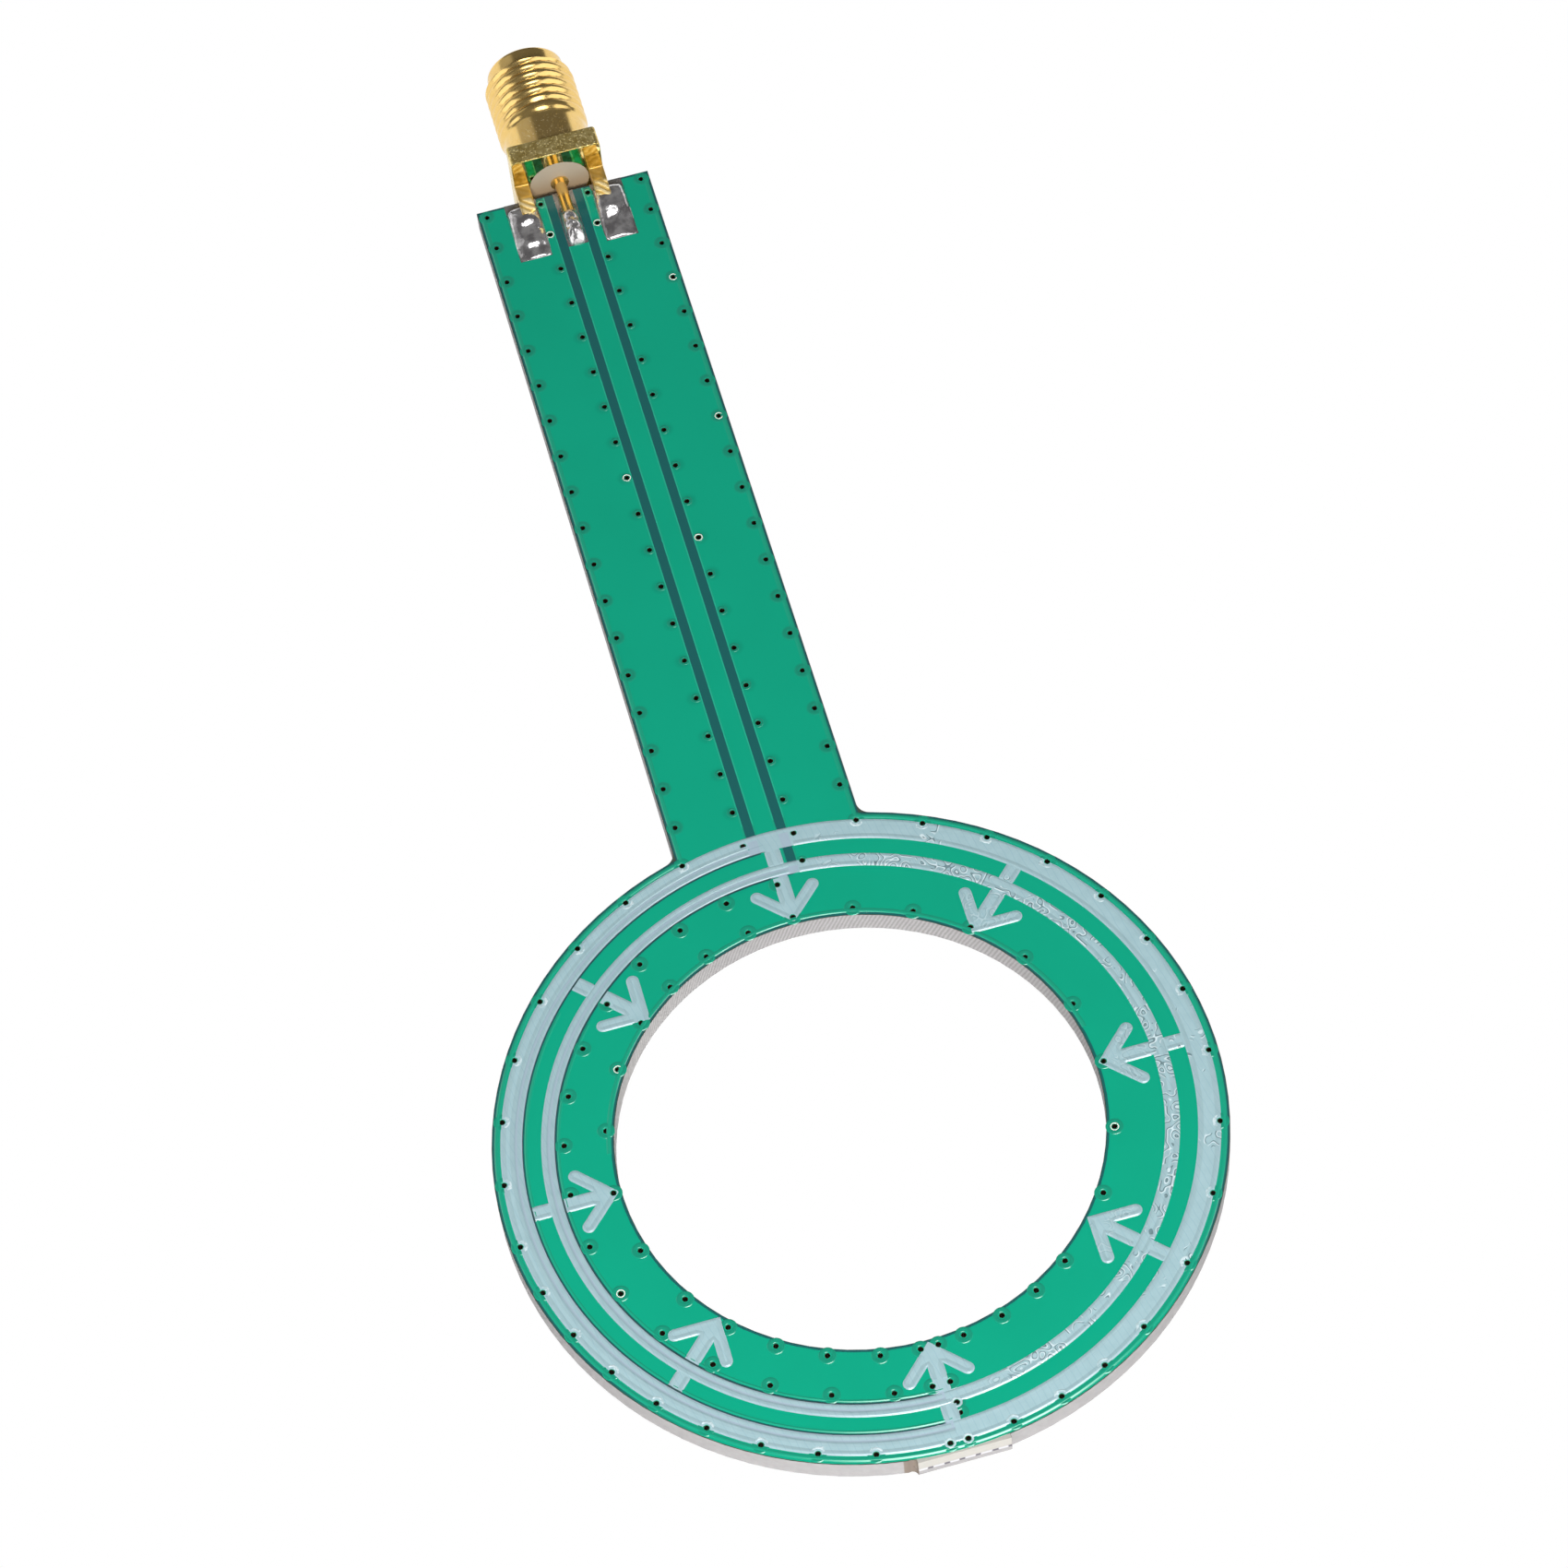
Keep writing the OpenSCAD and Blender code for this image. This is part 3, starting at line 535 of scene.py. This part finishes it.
def flange_row(y, inset):
    """The flange's square outline at y, drawn in by the inset on all four sides."""
    loop = rounded_loop(flange_side - 2 * inset, flange_side - 2 * inset, flange_corner)
    return np.stack((loop[:, 0], np.full(len(loop), y), axis_z + loop[:, 1]), -1)


def hole_row(y, radius):
    """A circle at y whose points lie in the directions of the flange's outline, so that the two join."""
    way = rounded_loop(flange_side, flange_side, flange_corner)
    way = way / np.linalg.norm(way, axis=1)[:, None]
    return np.stack((radius * way[:, 0], np.full(len(way), y), axis_z + radius * way[:, 1]), -1)


rear, front = 75.85, 77.4
rows = [hole_row(rear + 0.03, bore_r), hole_row(rear, 2.08), hole_row(rear, 2.10), flange_row(rear, 0.07),
        flange_row(rear, 0.06), flange_row(rear + 0.018, 0.018), flange_row(rear + 0.06, 0.0),
        flange_row(rear + 0.07, 0.0), flange_row(front - 0.07, 0.0), flange_row(front - 0.06, 0.0),
        flange_row(front - 0.018, 0.018), flange_row(front, 0.06), flange_row(front, 0.07),
        hole_row(front, bore_r), hole_row(rear + 0.03, bore_r)]
scuffed, shader, place = material("scuffed_gold")
polished = 1.0 - place.axis(1).smooth(rear + 0.004, rear + 0.01)
# Bright spots on the flange: real scuffs, coloured as painted glints.
scuff_and_painted_glint = place.noise(6.0, 3.0).smooth(0.60, 0.64) * (1.0 - polished)
shade = place.noise(2.4, 6.0).smooth(0.3, 0.7).blend((0.60, 0.42, 0.10, 1), (1.0, 0.80, 0.34, 1))
scuff_and_painted_glint.blend(shade, (1.0, 0.86, 0.48, 1)).into(shader, "Base Color")
(0.80 + polished * 0.20).into(shader, "Metallic")
(0.22 - polished * 0.16).into(shader, "Roughness")
((place.noise(6.0, 5.0) * 2.0 + scuff_and_painted_glint) * (1.0 - polished)).bump(0.00003, 0.7).into(shader, "Normal")
flange = surface("jack_flange", [np.stack(rows)], scuffed)


leg_x, leg_tip, filed_from = 2.6, 73.3, 74.75


def leg(side, low, high, fillet, filed):
    """A rounded bar from the flange to a slanted tip; its outer side is the longer one.
    Past half way its top is filed to a slope of the given fall."""
    loop = rounded_loop(1.0, high - low, 0.07, 4, 5)
    share = np.concatenate((np.linspace(0.0, 0.12, 8), np.linspace(0.16, 0.97, 14), [0.985, 0.996, 1.0, 1.0]))
    shrink = np.ones(len(share))
    shrink[-4:] = 0.99, 0.955, 0.90, 0.0
    x = side * leg_x + shrink[:, None] * loop[:, 0]
    tip = leg_tip + 0.5 * np.clip(0.5 - side * (x - side * leg_x), 0.0, 1.0)
    y = rear + 0.05 + share[:, None] * (tip - rear - 0.05)
    gap = np.clip(fillet - (rear - y), 0.0, fillet)
    rise = fillet - np.sqrt(np.maximum(fillet * fillet - gap * gap, 0.0))
    rise -= filed * np.clip(filed_from - y, 0.0, None)
    z = (low + high) / 2 + shrink[:, None] * loop[:, 1] + rise * (loop[:, 1] > 0)
    return np.stack((x, y, z), -1)


pad_top, pad_under, legs_low = 0.835, -0.775, -1.865
legs = [leg(side, pad_top, 1.885, 0.06, 0.28) for side in (-1, 1)]
legs += [leg(side, legs_low, pad_under, 0.0, 0.0) for side in (-1, 1)]
scored, shader, place = material("scored_gold", Metallic=0.82, Roughness=0.3)
score = (place.axis(0) * 9.0 + place.axis(1) * 12.0 + place.noise(1.5) * 4.0).math("SINE")
score = (score * 0.5 + place.noise(5.0, 4.0)).smooth(0.0, 0.9)
# The score marks show fully on the filed tips. Towards the flange they fade and the gold is darker, which is
# painted shade.
filed = 1.0 - place.axis(1).smooth(74.6, 74.8)
score = score * (filed * 0.8 + 0.2)
score.blend((0.78, 0.50, 0.13, 1), (1.0, 0.79, 0.40, 1)).into(shader, "Base Color")
score.bump(0.00001, 0.7).into(shader, "Normal")
legs = surface("jack_legs", legs, scored)
for piece in (barrel, flange, legs):
    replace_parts(piece, "jack_body")

insulator, shader, place = material("insulator", Roughness=0.4)
shade = (place.axis(2) - axis_z).smooth(-2.0, 1.6)
shade.blend((0.26, 0.165, 0.075, 1), (0.36, 0.30, 0.23, 1)).into(shader, "Base Color")
place.noise(4.0).bump(0.00001, 0.3).into(shader, "Normal")
dress("jack_dielectric", insulator)


# Solder joints
# Bright solder, hand-fed: a mound over each leg's tip and a ridge along the pin, wetted out to the
# edges of the bare pads.
solder, shader, place = material("solder", Metallic=0.86, Roughness=0.12)
skin = place.noise(1.3, 3.0).smooth(0.35, 0.65)
skin.blend((0.42, 0.40, 0.41, 1), (0.86, 0.84, 0.84, 1)).into(shader, "Base Color")
place.noise(1.1, 3.0).bump(0.00012, 0.7).into(shader, "Normal")


def mound(middle, half, base, up, height, power=4.0):
    """A closed cushion over a rounded rectangle: the top is height(x, y, share of the way out)."""
    around = np.linspace(0.0, 2 * np.pi, 97)
    out = np.concatenate((np.linspace(0.0, 0.9, 28), np.linspace(0.92, 1.0, 9)))
    way = np.stack((np.cos(around), np.sin(around)), -1)
    way = np.sign(way) * np.abs(way) ** (2.0 / power)
    flat = np.array(middle) + out[:, None, None] * way * np.array(half)
    x, y = flat[..., 0], flat[..., 1]
    top = np.stack((x, y, base + up * height(x, y, out[:, None])), -1)
    under = np.stack((x[::-1], y[::-1], np.full(x.shape, base)), -1)
    return np.concatenate((top, under))


def bell(distance, width):
    """1 at no distance, falling off to both sides as a normal curve of the given width."""
    return np.exp(-(distance / width) ** 2)


def leg_solder(steps, crown, middle):
    """A rounded rim under terraces that rise towards the jack by a smooth step at each (y, rise, length),
    crowned across by a parabola about the middle x."""
    def height(x, y, out):
        rim = np.sqrt(np.maximum(1.0 - out ** 6.0, 0.0))
        rise = sum(lift / (1.0 + np.exp((at - y) / length)) for at, lift, length in steps)
        ripple = 0.012 * np.sin(3.1 * x + 1.7 * y + middle) + 0.008 * np.sin(5.0 * y - 6.0 * x)
        return rim * (0.26 + rise - crown * (x - middle) ** 2 + ripple)
    return height


terraces = {"left": leg_solder([(72.95, 0.27, 0.15), (71.30, 0.22, 0.13)], 0.19, -2.90),
            "right": leg_solder([(72.35, 0.50, 0.27)], 0.12, 2.65)}
pad_x = 2.98
for name, side in (("left", -1), ("right", 1)):
    top = mound((side * pad_x, 72.5), (1.13, 2.2), pad_top, 1.0, terraces[name], 8.0)
    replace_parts(surface("solder_top_" + name, [top], solder), "solder_" + name)
    low = mound((side * pad_x, 72.7), (1.10, 2.3), pad_under, -1.0, terraces[name])
    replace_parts(surface("solder_low_" + name, [low], solder), "solder_" + name + "_under")


def pin_solder(x, y, out):
    """A ridge over the pin that drops to its sides at the jack's end."""
    rim = np.sqrt(np.maximum(1.0 - out ** 3.0, 0.0))
    ridge = np.interp(y, [70.6, 71.1, 72.9, 73.5, 74.3], [0.6, 0.93, 0.92, 0.70, 0.2])
    return rim * (ridge * (0.72 + 0.28 * bell(x, 0.35)) + 0.035 * np.sin(9.0 * y + 3.0 * x))


ridge = surface("solder_ridge", [mound((0.0, 72.45), (0.67, 1.85), pad_top, 1.0, pin_solder)], solder)
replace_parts(ridge, "solder_signal")


# Floor, light and camera
# A pale table that shows white to the camera, soft light from all round, and bright cards that only
# the reflections see.
paper = bpy.data.materials.new("paper")
paper.use_nodes = True
tree = paper.node_tree
shader = tree.nodes["Principled BSDF"]
shader.inputs["Base Color"].default_value = (0.86, 0.86, 0.86, 1)
shader.inputs["Roughness"].default_value = 0.8
white = tree.nodes.new("ShaderNodeEmission")
rays = tree.nodes.new("ShaderNodeLightPath").outputs
seen, mirrored = Sock(tree, rays["Is Camera Ray"]), Sock(tree, rays["Is Glossy Ray"])
(seen + mirrored).into(white, "Color")
lit, bright = Sock(tree, shader.outputs[0]), Sock(tree, white.outputs[0])
shown = seen.node("ShaderNodeMixShader", {}, {0: seen.math("MAXIMUM", mirrored), 1: lit, 2: bright})
shown.into(tree.nodes["Material Output"], "Surface")

board_low, rest_end, clearance = -0.8, -22.56, 0.005
lean = (legs_low - board_low) / (leg_tip - rest_end)
edge = 2000.0
corners = [(x, y, board_low + lean * (y - rest_end) - clearance)
           for x, y in ((-edge, -edge), (edge, -edge), (edge, edge), (-edge, edge))]
sheet = bpy.data.meshes.new("floor")
sheet.from_pydata((np.array(corners) * 0.001).tolist(), [], [(0, 1, 2, 3)])
sheet.materials.append(paper)
floor = bpy.data.objects.new("floor", sheet)
bpy.context.scene.collection.objects.link(floor)


def card(name, middle, aim, width, depth, strength, core=None):
    """A flat bright card that faces the aim point and is seen only in reflections.
    With a core, it is brightest within that distance of its middle and fades out to its sides."""
    light = bpy.data.materials.new(name)
    light.use_nodes = True
    tree = light.node_tree
    glow = tree.nodes.new("ShaderNodeEmission")
    glow.inputs["Strength"].default_value = strength
    if core:
        place = Sock(tree, tree.nodes.new("ShaderNodeTexCoord").outputs["Object"])
        reach = place.node("ShaderNodeVectorMath", {"operation": "DISTANCE"}, {0: place, 1: middle}, out=1)
        (1.0 - reach.smooth(core, width / 2)).into(glow, "Color")
    tree.links.new(glow.outputs[0], tree.nodes["Material Output"].inputs["Surface"])
    towards = np.array(aim, float) - np.array(middle, float)
    towards /= np.linalg.norm(towards)
    across = np.cross(towards, (0.0, 0.0, 1.0) if abs(towards[2]) < 0.9 else (0.0, 1.0, 0.0))
    across /= np.linalg.norm(across)
    upward = np.cross(across, towards)
    outline = [np.array(middle) + right * across * width / 2 + top * upward * depth / 2
               for right, top in ((-1, -1), (1, -1), (1, 1), (-1, 1))]
    mesh = bpy.data.meshes.new(name)
    mesh.from_pydata(np.array(outline).tolist(), [], [(0, 1, 2, 3)])
    mesh.materials.append(light)
    piece = bpy.data.objects.new(name, mesh)
    bpy.context.scene.collection.objects.link(piece)
    piece.visible_camera = False
    piece.visible_diffuse = False
    piece.visible_shadow = False


card("soft_box", (0.14, -0.20, 1.0), (0.14, -0.20, 0), 0.7, 0.7, 5.0, 0.15)
card("left_wall", (-0.8, 0.7, 0.6), (0, 0.03, 0), 0.7, 0.8, 0.42)
card("front_wall", (0.5, -1.0, 0.35), (0, 0.03, 0), 2.2, 0.7, 1.0)
card("right_wall", (0.95, -0.5, 0.62), (0, 0.05, 0), 1.4, 1.2, 1.35)
card("left_side", (-1.15, -0.5, 0.5), (0, 0.05, 0), 1.4, 1.0, 1.3)
card("back_left", (-1.0, 0.8, 0.1), (0, 0.08, 0), 1.2, 0.3, 1.0)
card("back_right", (1.0, 0.8, 0.1), (0, 0.08, 0), 1.2, 0.3, 1.0)


def lamp(name, place, aim, size, power):
    """A round area light at a place, turned to shine at the aim point and hidden from reflections."""
    data = bpy.data.lights.new(name, "AREA")
    data.shape = "DISK"
    data.size = size
    data.energy = power
    source = bpy.data.objects.new(name, data)
    source.visible_glossy = False
    bpy.context.scene.collection.objects.link(source)
    back = np.array(place, float) - np.array(aim, float)
    back /= np.linalg.norm(back)
    side = np.cross((0.0, 1.0, 0.0), back)
    side /= np.linalg.norm(side)
    up = np.cross(back, side)
    turned = np.eye(4)
    turned[:3, 0], turned[:3, 1], turned[:3, 2], turned[:3, 3] = side, up, back, place
    source.matrix_world = Matrix(turned.tolist())


lamp("key", (-0.05, -0.33, 0.28), (0, 0.02, 0), 0.2, 3.1)

world = bpy.data.worlds.new("studio")
bpy.context.scene.world = world
world.use_nodes = True
tree = world.node_tree
rays = Sock(tree, tree.nodes.new("ShaderNodeLightPath").outputs["Is Glossy Ray"])
(0.22 - rays * 0.13).into(tree.nodes["Background"], "Color")

view = bpy.data.cameras.new("camera")
focal_pixels, photo_pixels = 6056.354, 1700.0
view.sensor_width = 36.0
view.lens = focal_pixels / photo_pixels * view.sensor_width
view.clip_start, view.clip_end = 0.01, 20.0
camera = bpy.data.objects.new("camera", view)
bpy.context.scene.collection.objects.link(camera)
axes = np.array(((0.96327281, -0.26124328, -0.06210828),
                 (0.25395627, 0.81115995, 0.52680713),
                 (-0.08724508, -0.52323177, 0.84771269)))
turned = np.eye(4)
turned[:3, :3] = axes.T
turned[:3, 3] = np.array((-28.7918, -159.7615, 299.4709 + mask_top)) * 0.001
camera.matrix_world = Matrix(turned.tolist())
bpy.context.scene.camera = camera
bpy.context.scene.view_settings.view_transform = "Standard"
